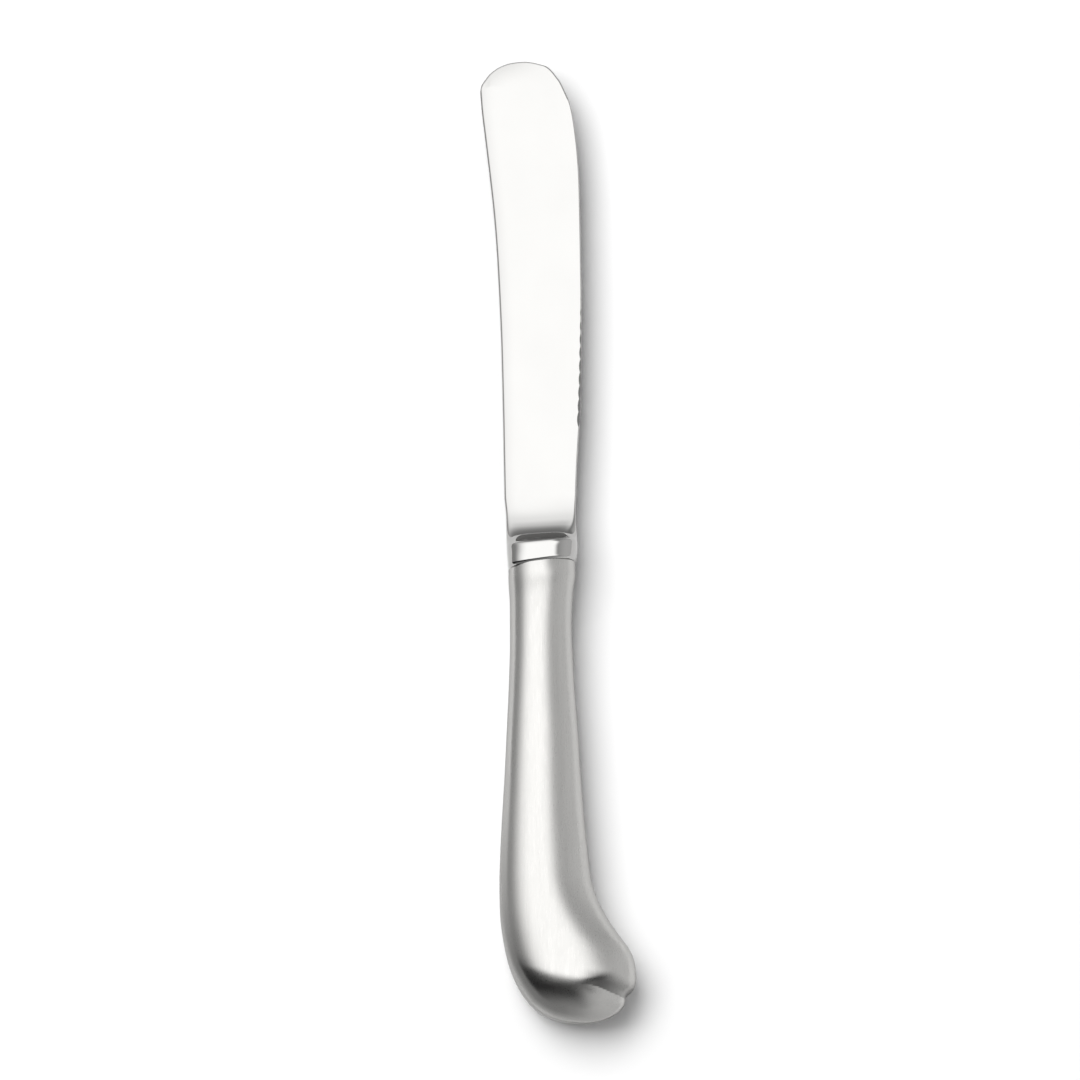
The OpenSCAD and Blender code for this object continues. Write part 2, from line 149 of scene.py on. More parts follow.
# Tang and spigot: rows along the tang, its squareness, and the row that keeps the spigot's end crisp, as
# a share of the way to that end
TANG_ROWS = 6
TANG_SQUARE = 30
SPIGOT_CRISP = 0.98

# Spreads of the bells that soften the curves, how many spreads a bell reaches to each side, and how many
# roll widths the tip's roll takes to fade out
PLAIN_SPREAD = 0.012
BELL_REACH = 4
ROLL_FADE = 3
NECK_SPREAD = 0.02
INNER_SPREAD = 0.004
SECTION_SPREAD = 0.03

# Grid fineness: places across, and rows of the joint, neck, plain blade, scallops, blade end and tip
ACROSS = 72
JOINT_ROWS = 8
JOINT_BAND = 0.0004
NECK_ROWS = 109
PLAIN_ROWS = 23
SCALLOP_ROWS = 209
END_ROWS = 90
TIP_ROWS = 40
HANDLE_ROWS = 300
ROW_CROWDING = 0.7
SHARP_ANGLE = math.radians(50)


class KnifeSizes(bpy.types.PropertyGroup):
    """Sizes of the knife that its outline follows"""

    blade_length: FloatProperty(
        name="Blade length", description="From the heel to the tip", default=0.084, unit="LENGTH")
    bolster_length: FloatProperty(
        name="Neck length", description="Polished neck between heel and handle",
        default=0.0061, unit="LENGTH")
    handle_length: FloatProperty(
        name="Handle length", description="From the neck joint to the butt",
        default=0.0811, unit="LENGTH")
    blade_spread: FloatProperty(
        name="Blade spread", description="From the swept corner to the belly",
        default=0.0172, unit="LENGTH")
    heel_thickness: FloatProperty(
        name="Heel thickness", description="Back of the blade at the heel",
        default=0.0017, unit="LENGTH")
    tip_thickness: FloatProperty(
        name="Tip thickness", description="Back of the blade at the tip", default=0.0011, unit="LENGTH")
    edge_thickness: FloatProperty(
        name="Edge thickness", description="Cutting side at the belly", default=0.0005, unit="LENGTH")
    back_round: FloatProperty(
        name="Back rounding", description="Polished-over border along the back and the tip",
        default=0.0003, unit="LENGTH")
    edge_round: FloatProperty(
        name="Edge rounding", description="Border along the cutting edge",
        default=0.0002, unit="LENGTH")
    roll_length: FloatProperty(
        name="Roll width", description="Width over which the face falls away to the back",
        default=0.004, unit="LENGTH")
    roll_drop: FloatProperty(
        name="Roll drop", description="How far it has fallen there at the border",
        default=0.00034, unit="LENGTH")
    fillet_reach: FloatProperty(
        name="Hollow curve", description="From the heel to where the blade turns flat",
        default=0.0068, unit="LENGTH")
    neck_reach: FloatProperty(
        name="Neck half width", description="Half width of the polished neck",
        default=0.00605, unit="LENGTH")
    neck_half: FloatProperty(
        name="Neck half thickness", description="Half thickness of the polished neck",
        default=0.0046, unit="LENGTH")
    neck_lean: FloatProperty(
        name="Neck lean", description="Lean of the heel and the joint",
        default=math.radians(8), subtype="ANGLE")
    back_reach: FloatProperty(
        name="Back reach", description="Furthest reach of the handle's back",
        default=0.00723, unit="LENGTH")
    beak_reach: FloatProperty(
        name="Beak reach", description="Furthest reach of the beak", default=0.01599, unit="LENGTH")
    butt_half: FloatProperty(
        name="Butt half thickness", description="Half thickness at the swollen butt",
        default=0.0063, unit="LENGTH")
    shell_wall: FloatProperty(
        name="Shell wall", description="Wall of the pressed halves", default=0.00085, unit="LENGTH")
    dome_length: FloatProperty(
        name="Dome length", description="Rounded end of the butt", default=0.0071, unit="LENGTH")
    butt_axis: FloatProperty(
        name="Butt axis", description="Where the butt's bottom lies beside the neck's axis",
        default=0.00695, unit="LENGTH")
    crease_rise: FloatProperty(
        name="Crease rise", description="Height of the crease above the butt's bottom",
        default=0.005, unit="LENGTH")
    shoulder_length: FloatProperty(
        name="Shoulder length", description="Rounded shoulder above the crease",
        default=0.003, unit="LENGTH")
    seam_thickness: FloatProperty(
        name="Seam", description="Thickness of the brazed line", default=0.00012, unit="LENGTH")
    seam_recess: FloatProperty(
        name="Seam recess", description="How far the braze lies below the shells",
        default=0.00003, unit="LENGTH")
    spigot_gap: FloatProperty(
        name="Spigot gap", description="Gap around the spigot in the neck",
        default=0.00008, unit="LENGTH")
    spigot_length: FloatProperty(
        name="Spigot length", description="Plug inside the handle's neck", default=0.004, unit="LENGTH")
    tang_length: FloatProperty(
        name="Tang length", description="Flat tang past the spigot", default=0.034, unit="LENGTH")
    tang_width: FloatProperty(
        name="Tang width", description="Width of the tang", default=0.0046, unit="LENGTH")
    tang_thickness: FloatProperty(
        name="Tang thickness", description="Thickness of the tang", default=0.0022, unit="LENGTH")
    scallop_start: FloatProperty(
        name="First scallop", description="Height of the first scallop above the heel",
        default=0.0202, unit="LENGTH")
    scallop_pitch: FloatProperty(
        name="Scallop pitch", description="Distance between scallops", default=0.00238, unit="LENGTH")
    scallop_depth: FloatProperty(
        name="Scallop depth", description="Width of the ground bevel", default=0.00042, unit="LENGTH")
    scallop_radius: FloatProperty(
        name="Wheel radius", description="Radius of the grinding wheel's rim",
        default=0.007, unit="LENGTH")
    scallop_slope: FloatProperty(
        name="Bevel slope", description="Slope of the ground bevel",
        default=math.radians(40), subtype="ANGLE")


class KnifeFinish(bpy.types.PropertyGroup):
    """Colours of the knife's metals"""

    polished: FloatVectorProperty(
        name="Polished steel", description="Mirror-polished blade and neck",
        default=(0.45, 0.447, 0.44), subtype="COLOR", size=3, min=0, max=1)
    satin: FloatVectorProperty(
        name="Satin steel", description="Brushed handle",
        default=(0.55, 0.545, 0.532), subtype="COLOR", size=3, min=0, max=1)
    braze: FloatVectorProperty(
        name="Braze", description="Brazed seam",
        default=(0.66, 0.62, 0.5), subtype="COLOR", size=3, min=0, max=1)
    cement: FloatVectorProperty(
        name="Cement", description="Filling of the handle",
        default=(0.55, 0.54, 0.51), subtype="COLOR", size=3, min=0, max=1)
    floor: FloatVectorProperty(
        name="Floor", description="Pale studio floor",
        default=(0.96, 0.96, 0.96), subtype="COLOR", size=3, min=0, max=1)


def smoothstep(t):
    """0 below 0, 1 above 1, and 3 t squared minus 2 t cubed between."""
    t = np.clip(t, 0, 1)
    return t * t * (3 - 2 * t)


def curve(places, values, at):
    """Monotone cubic curve through the points: each slope is the harmonic mean of its two
    neighbours."""
    x, y, at = (np.asarray(a, float) for a in (places, values, at))
    h, d = np.diff(x), np.diff(y) / np.diff(x)
    m = np.zeros_like(y)
    m[0], m[-1] = d[0], d[-1]
    both = d[:-1] * d[1:]
    total = np.where(d[:-1] + d[1:] == 0, 1, d[:-1] + d[1:])
    m[1:-1] = np.where(both > 0, 2 * both / total, 0)
    i = np.clip(np.searchsorted(x, at, side="right") - 1, 0, len(x) - 2)
    s = (at - x[i]) / h[i]
    return ((2 * s**3 - 3 * s**2 + 1) * y[i] + (s**3 - 2 * s**2 + s) * h[i] * m[i]
            + (3 * s**2 - 2 * s**3) * y[i + 1] + (s**3 - s**2) * h[i] * m[i + 1])


def soft_curve(places, values, at, spread=PLAIN_SPREAD, samples=1201):
    """The same curve, averaged over a bell of the given spread. Its ends are turned over beyond
    themselves, so that they stay put."""
    fine = np.linspace(places[0], places[-1], samples)
    v = curve(places, values, fine)
    step = fine[1] - fine[0]
    n = int(BELL_REACH * spread / step)
    bell = np.exp(-0.5 * (np.arange(-n, n + 1) * step / spread) ** 2)
    bell /= bell.sum()
    padded = np.concatenate([2 * v[0] - v[n:0:-1], v, 2 * v[-1] - v[-2:-n - 2:-1]])
    return np.interp(at, fine, np.convolve(padded, bell, "valid"))


def traced(points, count=800):
    """Smooth path through points by the length run along them."""
    run = np.concatenate([[0], np.cumsum(np.hypot(*np.diff(points, axis=0).T))])
    t = np.linspace(0, run[-1], count)
    return np.stack([curve(run, points[:, 0], t), curve(run, points[:, 1], t)], 1)


def oval(s, square):
    """Height share (1 - |s|^n)^(1/n) at a place s from -1 to 1 across a section of squareness n."""
    return np.clip(1 - np.abs(s) ** square, 0, 1) ** (1 / square)


def mix(a, b, t):
    """Straight mix of two values, a at 0 and b at 1."""
    return a + (b - a) * t


def across():
    """Places from -1 to 1, crowded at both ends as a cosine is."""
    return -np.cos(np.pi * np.arange(ACROSS + 1) / ACROSS)


def grid_quads(index):
    """Quads over a grid of point numbers, facing up when rows run down and columns run right."""
    a, b, c, d = index[:-1, :-1], index[:-1, 1:], index[1:, 1:], index[1:, :-1]
    return np.stack([a, b, c, d], -1).reshape(-1, 4)


def make_mesh(name, points, quads, marks=()):
    """Mesh from points and quads, the unused points left out, quads with a repeated corner turned into
    triangles, and edges past the sharp angle kept sharp. Marks are pairs of an attribute's name and its
    value at each point."""
    points, quads = np.asarray(points, float), np.asarray(quads, int)
    used, quads = np.unique(quads, return_inverse=True)
    quads = quads.reshape(-1, 4)
    points = points[used]
    ends = quads == np.roll(quads, -1, axis=1)
    keep = ends.sum(1) < 2
    quads, ends = quads[keep], ends[keep]
    whole = quads[ends.sum(1) == 0]
    short = quads[ends.sum(1) == 1][~ends[ends.sum(1) == 1]].reshape(-1, 3)
    mesh = bpy.data.meshes.new(name)
    mesh.vertices.add(len(points))
    mesh.vertices.foreach_set("co", points.astype(np.float32).ravel())
    mesh.loops.add(whole.size + short.size)
    corners = np.concatenate([whole.ravel(), short.ravel()])
    mesh.loops.foreach_set("vertex_index", corners.astype(np.int32))
    starts = np.concatenate([np.arange(len(whole)) * 4, whole.size + np.arange(len(short)) * 3])
    mesh.polygons.add(len(starts))
    mesh.polygons.foreach_set("loop_start", starts.astype(np.int32))
    mesh.update(calc_edges=True)
    mesh.validate()
    mesh.shade_smooth()
    for mark, values in marks:
        attribute = mesh.attributes.new(mark, "FLOAT", "POINT")
        attribute.data.foreach_set("value", values[used].astype(np.float32))
    mesh.set_sharp_from_angle(angle=SHARP_ANGLE)
    return mesh


def add_object(name, data):
    """New object with its data, linked into the scene."""
    made = bpy.data.objects.new(name, data)
    bpy.context.scene.collection.objects.link(made)
    return made


def place_piece(name, mesh, material, node):
    """Puts a mesh into the scene as a named piece that rides on the root and stands for a CAD node."""
    piece = add_object(name, mesh)
    piece.data.materials.append(material)
    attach(piece, "root")
    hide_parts(node)


def knife_shift(k):
    """From the knife's own frame to the row frame: centred in x and y, lying on z = 0."""
    back = TIP_SHARES[0, 0] * k.blade_spread
    length = k.handle_length + k.bolster_length + k.blade_length
    return np.array([-(back + k.beak_reach) / 2, -length / 2, k.butt_half])


# Blade

def blade_plane(k):
    """Half thickness of the flat blade: the plane through its heel, its swept corner and its belly."""
    heel = k.handle_length + k.bolster_length
    corner, belly = TIP_SHARES[0], EDGE_SHARES[BELLY]
    p = np.array([
        [BACK_SHARES[0, 0] * k.blade_spread, heel, k.heel_thickness / 2],
        [corner[0] * k.blade_spread, heel + corner[1] * k.blade_length, k.tip_thickness / 2],
        [belly[0] * k.blade_spread, heel + belly[1] * k.blade_length, k.edge_thickness / 2],
    ])
    n = np.cross(p[1] - p[0], p[2] - p[0])
    return lambda x, y: p[0, 2] - (n[0] * (x - p[0, 0]) + n[1] * (y - p[0, 1])) / n[2]


def neck_rise(t, samples=2001):
    """Rise of the neck's face at shares t of its length: the sum of a slope that grows as a power up to
    its steepest place and then falls away to nothing at the top, scaled to 1 there. At the joint a lip
    rounds it off, falling as a square."""
    s = np.linspace(0, 1, samples)
    u = s / RISE_TOP
    growing = (u / RISE_STEEPEST) ** RISE_POWER
    angle = np.where(u < RISE_STEEPEST, growing, smoothstep((1 - u) / (1 - RISE_STEEPEST)))
    slope = np.tan(np.radians(RISE_SLOPE) * np.clip(angle, 0, 1))
    total = np.concatenate([[0], np.cumsum((slope[1:] + slope[:-1]) / 2)])
    total /= total[-1]
    lip = LIP_DROP * np.clip((s - LIP_START) / (1 - LIP_START), 0, 1) ** 2
    return np.interp(t, s, total - lip)


def blade_rows(k):
    """Rows of the blade and neck from the handle joint up to the line under the tip, close together at
    the joint and where the scallops are. Each row has its y on the back side and on the cutting side,
    and runs straight between them."""
    heel = k.handle_length + k.bolster_length
    joint, top = k.handle_length, heel + k.fillet_reach
    band = joint + JOINT_BAND
    neck = np.concatenate([
        joint + JOINT_BAND * smoothstep(np.linspace(0, 1, JOINT_ROWS + 1))[:-1],
        np.linspace(band, top, NECK_ROWS + 1)[:-1],
    ])
    first = heel + k.scallop_start - k.scallop_pitch
    last = heel + k.scallop_start + SCALLOPS * k.scallop_pitch
    end = heel + TIP_SHARES[0, 1] * k.blade_length
    edge_end = heel + EDGE_SHARES[0, 1] * k.blade_length
    place = np.clip((top - neck) / (top - joint), 0, 1)
    leans = math.tan(k.neck_lean) * k.neck_reach * curve(NECK_PLACES, NECK_LEAN, place)
    plate = np.concatenate([
        np.linspace(top, first, PLAIN_ROWS + 1)[:-1],
        np.linspace(first, last, SCALLOP_ROWS + 1)[:-1],
        np.linspace(last, end, END_ROWS),
    ])
    t = (plate - top) / (end - top)
    left = np.concatenate([neck - leans, plate - leans[-1] * (1 - t)])
    right = np.concatenate([neck + leans, mix(top + leans[-1], edge_end, t)])
    return left, right


def blade_surface(k):
    """Top side of the blade and neck as a grid of rows and places across, then the rounded tip as rows
    that move from the line under the tip out to its outline. The flat blade's half thickness is a
    plane, rolled off as a square towards the back and rounded by a quarter circle at its border. The
    neck's is its rise times an oval section."""
    heel = k.handle_length + k.bolster_length
    scale = np.array([k.blade_spread, k.blade_length])
    back, tip, edge = (traced(p) * scale + [0, heel] for p in (BACK_SHARES, TIP_SHARES, EDGE_SHARES))
    left_y, right_y = blade_rows(k)
    half = blade_plane(k)
    c = across()
    top = heel + k.fillet_reach
    place = np.clip((top - (left_y + right_y) / 2) / (top - k.handle_length), 0, 1)

    def along_neck(values):
        """A neck table's value at each row."""
        return soft_curve(NECK_PLACES, values, place, NECK_SPREAD)

    blend = smoothstep(place / OUTLINE_TURN)
    blade_left = np.interp(left_y, back[:, 1], back[:, 0])
    blade_right = np.interp(right_y, edge[::-1, 1], edge[::-1, 0])
    left_x = mix(blade_left, -k.neck_reach * along_neck(NECK_BACK), blend)
    right_x = mix(blade_right, k.neck_reach * along_neck(NECK_EDGE), blend)
    middle = mix(left_x, right_x, mix(0.5, CROWN[0], blend))[:, None]
    x = middle + np.where(c < 0, c * (middle - left_x[:, None]), c * (right_x[:, None] - middle))
    t = (x - left_x[:, None]) / (right_x - left_x)[:, None]
    y = mix(left_y[:, None], right_y[:, None], t)
    from_back, from_edge = x - left_x[:, None], right_x[:, None] - x
    away = np.minimum(from_back / k.back_round, from_edge / k.edge_round)
    rim = np.sqrt(np.clip(1 - np.clip(1 - away, 0, 1) ** 2, 0, 1))
    roll = k.roll_drop * np.clip(1 - from_back / k.roll_length, 0, 1) ** 2
    flat = (half(x, y) - roll) * rim
    height = mix(k.heel_thickness / 2, k.neck_half, neck_rise(place))[:, None]
    square_back = along_neck(NECK_BACK_SQUARE)[:, None]
    square_edge = along_neck(NECK_EDGE_SQUARE)[:, None]
    round_part = np.where(c < 0, oval(c, square_back), oval(c, square_edge)) * height
    z = mix(flat, round_part, smoothstep(place / SECTION_TURN)[:, None])
    z[:, [0, -1]] = 0
    # The tip's rows run from the last straight row out to the outline, crowded near it
    g = np.sin(np.pi / 2 * np.arange(1, TIP_ROWS + 1) / TIP_ROWS)[:, None]
    line_x, line_y = x[-1], y[-1]
    out_y = np.interp(line_x, tip[:, 0], tip[:, 1])
    deep = np.clip(out_y - line_y, 0, None)
    deep[[0, -1]] = 0
    steep = np.gradient(tip[:, 1], tip[:, 0])
    lean = 1 / np.hypot(1, np.interp(line_x, tip[:, 0], steep))
    tip_y = line_y + deep * g
    tip_x = np.broadcast_to(line_x, tip_y.shape)
    away = deep * (1 - g) * lean
    cap = np.sqrt(np.clip(1 - np.clip(1 - away / k.back_round, 0, 1) ** 2, 0, 1))
    nearest = np.minimum(away, line_x - line_x[0])
    roll = k.roll_drop * np.clip(1 - nearest / k.roll_length, 0, 1) ** 2
    roll = roll * smoothstep((k.roll_length - line_x) / (ROLL_FADE * k.roll_length))
    tip_z = (half(tip_x, tip_y) - roll) * np.minimum(cap, mix(rim[-1], 1, g))
    tip_z[:, [0, -1]] = 0
    tip_z[-1] = 0
    pairs = ((x, tip_x), (y, tip_y), (z, tip_z))
    return np.stack([np.concatenate(pair) for pair in pairs], -1), len(x), half, edge


def grind(points, k, half, edge):
    """Cuts the scallops into the front: each is a cylinder whose lowest line starts on the face a
    little in from the edge and slopes down past it. They grow narrower towards the tip. The front is
    lowered to the cylinders' underside."""
    heel = k.handle_length + k.bolster_length
    x, y, z = points[..., 0], points[..., 1], points[..., 2]
    s, r = k.scallop_slope, k.scallop_radius
    cut = z.copy()
    for n in range(SCALLOPS):
        cy = heel + k.scallop_start + n * k.scallop_pitch
        cx = np.interp(cy, edge[::-1, 1], edge[::-1, 0])
        cz = half(cx, cy)
        depth = k.scallop_depth * mix(1, SCALLOP_END, n / (SCALLOPS - 1))
        off = np.clip(r * r - (y - cy) ** 2, 0, None)
        lift = (r - np.sqrt(off)) / math.cos(s)
        floor = cz - (x - (cx - depth)) * math.tan(s) + lift
        cut = np.where(np.abs(y - cy) < 2 * k.scallop_pitch, np.minimum(cut, floor), cut)
    points[..., 2] = cut
    return points


def spigot_rows(k):
    """Rows of the tang and the spigot, from the end of the tang up to the handle joint: each is an oval
    section, almost a rectangle on the tang, and the handle's own section drawn in on the spigot."""
    c = across()
    inset = k.shell_wall + k.spigot_gap
    rows = []

    def ring(y, left, right, half, square_back, square_edge, lean, crown):
        """One oval section from its left to its right reach."""
        middle = mix(-left, right, crown)
        x = middle + np.where(c < 0, c * (middle + left), c * (right - middle))
        z = half * np.where(c < 0, oval(c, square_back), oval(c, square_edge))
        z[[0, -1]] = 0
        rows.append(np.stack([x, y + lean * x, z], -1))

    tang_top = k.handle_length - k.spigot_length
    tw, th = k.tang_width / 2, k.tang_thickness / 2
    for t in np.linspace(0, 1, TANG_ROWS):
        ring(tang_top - k.tang_length * (1 - t), tw, tw, th, TANG_SQUARE, TANG_SQUARE, 0, 0.5)
    lean = math.tan(k.neck_lean)
    share = k.spigot_length / k.handle_length
    for v in (share, share * SPIGOT_CRISP, 0):
        back, inner, thick, sb, si, crown = (a[0] for a in handle_sizes(k, np.array([v])))
        ring(k.handle_length * (1 - v), back - inset, inner - inset, thick - inset, sb, si, lean, crown)
    return np.array(rows)


def two_sided(rows, cols, tip_from):
    """Quads of a top grid and its mirror image below: they share the border, the rows of the tip share
    their ends, and a wall closes the first row."""
    index = np.arange(rows * cols).reshape(rows, cols)
    index[tip_from:, 0] = index[tip_from - 1, 0]
    index[tip_from:, -1] = index[tip_from - 1, -1]
    low = index + rows * cols
    low[:, 0], low[:, -1] = index[:, 0], index[:, -1]
    low[-1] = index[-1]
    start = grid_quads(np.stack([low[0], index[0]]))
    return np.concatenate([grid_quads(index), grid_quads(low)[:, ::-1], start])


def build_blade(k):
    """Top grid of tang, spigot, neck, blade and tip, closed below by its mirror image, ground on the
    front. The points that the scallops have lowered are marked."""
    top, straight, half, edge = blade_surface(k)
    stub = spigot_rows(k)
    bottom = np.concatenate([stub, top])
    bottom[..., 2] *= -1
    upper = np.concatenate([stub, grind(top, k, half, edge)])
    quads = two_sided(*upper.shape[:2], len(stub) + straight)
    points = np.concatenate([upper.reshape(-1, 3), bottom.reshape(-1, 3)]) + knife_shift(k)
    lowered = (bottom + upper)[..., 2].ravel() < -SCALLOP_SKIN
    return points, quads, [("ground", np.concatenate([lowered, np.zeros_like(lowered)]))]


# Handle

def handle_sizes(k, v):
    """Reach to both sides, half thickness, squareness on both sides and crown at places v from the neck
    joint to the bottom."""
    return (
        k.back_reach * soft_curve(BACK_PLACES, BACK_REACH, v),
        k.beak_reach * soft_curve(INNER_PLACES, INNER_REACH, v, INNER_SPREAD),
        k.butt_half * soft_curve(THICK_PLACES, THICK, v),
        soft_curve(SQUARE_PLACES, BACK_SQUARE, v, SECTION_SPREAD),
        soft_curve(SQUARE_PLACES, INNER_SQUARE, v, SECTION_SPREAD),
        soft_curve(SQUARE_PLACES, CROWN, v, SECTION_SPREAD),
    )


def handle_rows():
    """Places of the rows from the neck joint to the bottom, closer together towards the bottom as a
    sine is near its top."""
    t = np.linspace(0, 1, HANDLE_ROWS + 1)
    v = mix(t, np.sin(np.pi / 2 * t), ROW_CROWDING)
    v[-1] = 1
    return v


def crease_line(k, s):
    """Rise of the crease above the bottom at a place s across, sinking smoothly towards the notch."""
    return k.crease_rise * (1 - CREASE_DIP * smoothstep((s - CREASE_SIDE) / (1 - CREASE_SIDE)))


def crease_painted_shade(k):
    """How much painted shade each point of a half gets: most just above the crease, fading upwards over
    the shoulder, away to nothing towards the back and to half towards the notch."""
    c, rise = across(), k.handle_length * (1 - handle_rows()[:, None])
    above = (rise - crease_line(k, c)) / k.crease_rise
    shade = np.where(above < 0, 0, 1 - smoothstep((above - CREASE_CORE) / CREASE_FADE))
    shade = shade * smoothstep((c - CREASE_FROM) / (CREASE_FULL - CREASE_FROM))
    return (shade * (1 - CREASE_HALF * smoothstep((c - CREASE_FULL) / (1 - CREASE_FULL)))).ravel()


def end_height(k, rise, s):
    """Share of its height that the butt keeps at a rise above its bottom and a place s across. On the
    back side it is a round dome, the root of 1 minus u squared, longest at the back. Towards the notch
    it turns into a shoulder that drops as a power down to a crease, and below the crease into a facet
    that falls as a root."""
    dome = np.sqrt(1 - np.clip(1 - rise / (k.dome_length * (1 - DOME_SLANT * s)), 0, 1) ** 2)
    crease = crease_line(k, s)
    far = smoothstep((s - SHOULDER_SIDE) / (1 - SHOULDER_SIDE))
    drop = SHOULDER_DROP + SHOULDER_FALL * far
    length = k.shoulder_length * (1 + SHOULDER_SPREAD * far)
    shoulder = 1 - drop * np.clip(1 - (rise - crease) / length, 0, 1) ** SHOULDER_POWER
    facet = (1 - drop) * np.sqrt(np.clip(rise / crease, 0, 1))
    return mix(dome, np.where(rise > crease, shoulder, facet), smoothstep(s))


def handle_surface(k, inset):
    """One half of the handle, drawn in by an inset. Rows run straight from the back to the inner side
    with an oval section, and draw together over the dome, as the root of 1 minus a power, to one point
    on the butt's axis."""
    c, v = across(), handle_rows()
    back, inner, thick, sb, si, crown = (a[:, None] for a in handle_sizes(k, v))
    v = v[:, None]
    rise = k.handle_length * (1 - v)
    narrow = np.sqrt(1 - np.clip(1 - rise / k.dome_length, 0, 1) ** DOME_POWER)
    left = mix(k.butt_axis, inset - back, narrow)
    right = mix(k.butt_axis, inner - inset, narrow)
    middle = mix(left, right, crown)
    x = middle + np.where(c < 0, c * (middle - left), c * (right - middle))
    lean = math.tan(k.neck_lean) * (1 - smoothstep(v / LEAN_END))
    y = rise + lean * x + inset * np.clip((v - BUTT_WALL) / (1 - BUTT_WALL), 0, 1)
    z = (thick - inset) * end_height(k, rise, c) * np.where(c < 0, oval(c, sb), oval(c, si))
    z[:, [0, -1]] = 0
    z[-1] = 0
    return np.stack([x, y, z], -1)


def handle_border(index):
    """Point numbers round the open side of a half: down the back to the bottom and up the inner
    side."""
    return np.concatenate([index[:, 0], index[:-1, -1][::-1]])


def shell_index():
    """Point numbers of a half's grid, the whole last row being one point."""
    index = np.arange((HANDLE_ROWS + 1) * (ACROSS + 1)).reshape(-1, ACROSS + 1)
    index[-1] = index[-1, 0]
    return index


def build_shell(k, side):
    """A pressed half: outer and inner surface, a flat rim on the seam and a wall at the neck. The
    section is squeezed so that its rim lies half a seam off the middle plane."""
    seam = k.seam_thickness / 2
    index = shell_index()
    count = index.size
    parts = []
    for inset in (0, k.shell_wall):
        p = handle_surface(k, inset).reshape(-1, 3)
        p[:, 2] = seam + p[:, 2] * (k.butt_half - seam) / k.butt_half
        parts.append(p)
    points = np.concatenate(parts)
    border = handle_border(index)
    quads = np.concatenate([
        grid_quads(index)[:, ::-1],
        grid_quads(index + count),
        grid_quads(np.stack([border, border + count]))[:, ::-1],
        grid_quads(np.stack([index[0], index[0] + count])),
    ])
    if side < 0:
        points[:, 2] *= -1
        quads = quads[:, ::-1]
    return points + knife_shift(k), quads


def build_seam(k):
    """Flat band of braze between the halves, a little below their outside."""
    index = shell_index()
    border = handle_border(index)
    outer = handle_surface(k, k.seam_recess).reshape(-1, 3)[border]
    inner = handle_surface(k, k.shell_wall).reshape(-1, 3)[border]
    seam = k.seam_thickness / 2
    corners = ((outer, seam), (inner, seam), (inner, -seam), (outer, -seam))
    loops = [p * [1, 1, 0] + [0, 0, z] for p, z in corners]
    n = len(border)
    number = np.arange(4 * n).reshape(4, n)
    quads = grid_quads(np.concatenate([number, number[:1]]))
    ends = np.array([number[:, 0], number[::-1, -1]])
    return np.concatenate(loops) + knife_shift(k), np.concatenate([quads, ends])


# Finishes

# The part of its range that a noise mostly stays in
NOISE_SPAN = (0.3, 0.7)


def new_material(name):
    """A material with its node tree and its shader."""
    material = bpy.data.materials.new(name)
    material.use_nodes = True
    tree = material.node_tree
    return material, tree, tree.nodes["Principled BSDF"]


def set_inputs(node, values):
    """Sets a node's sockets to fixed values."""
    for socket, value in values.items():
        node.inputs[socket].default_value = value


def stretched_noise(tree, scale, detail, rough=0.6):
    """Noise on object coordinates, in lines when one axis is scaled less than the others."""
    coords = tree.nodes.new("ShaderNodeTexCoord")
    mapping = tree.nodes.new("ShaderNodeMapping")
    mapping.inputs["Scale"].default_value = scale
    noise = tree.nodes.new("ShaderNodeTexNoise")
    set_inputs(noise, {"Scale": 1, "Detail": detail, "Roughness": rough})
    tree.links.new(coords.outputs["Object"], mapping.inputs["Vector"])
    tree.links.new(mapping.outputs["Vector"], noise.inputs["Vector"])
    return noise.outputs["Fac"]


def axes(tree, kind):
    """The three parts of a kind of coordinates."""
    coords = tree.nodes.new("ShaderNodeTexCoord")
    split = tree.nodes.new("ShaderNodeSeparateXYZ")
    tree.links.new(coords.outputs[kind], split.inputs[0])
    return split.outputs


def ranged(tree, source, low, high, start=NOISE_SPAN[0], end=NOISE_SPAN[1]):
    """Straight ramp of a source, low at its start and high at its end."""
    node = tree.nodes.new("ShaderNodeMapRange")
    set_inputs(node, {"From Min": start, "From Max": end, "To Min": low, "To Max": high})
    tree.links.new(source, node.inputs["Value"])
    return node.outputs["Result"]


def add_bump(tree, shader, height, distance, strength, under=None):
    """Bump from a height on the shader, laid over another bump where one is given."""
    bump = tree.nodes.new("ShaderNodeBump")
    set_inputs(bump, {"Strength": strength, "Distance": distance})
    tree.links.new(height, bump.inputs["Height"])
    if under:
        tree.links.new(under, bump.inputs["Normal"])
    tree.links.new(bump.outputs["Normal"], shader.inputs["Normal"])
    return bump.outputs["Normal"]


def tinted(tree, shader, colour, source, depth):
    """Base colour that a factor darkens by up to a depth where it is low."""
    ramp = tree.nodes.new("ShaderNodeValToRGB")
    dark, full = ramp.color_ramp.elements
    dark.position, full.position = NOISE_SPAN
    dark.color = (*[c * (1 - depth) for c in colour], 1)
    full.color = (*colour, 1)
    tree.links.new(source, ramp.inputs["Fac"])
    tree.links.new(ramp.outputs["Color"], shader.inputs["Base Color"])


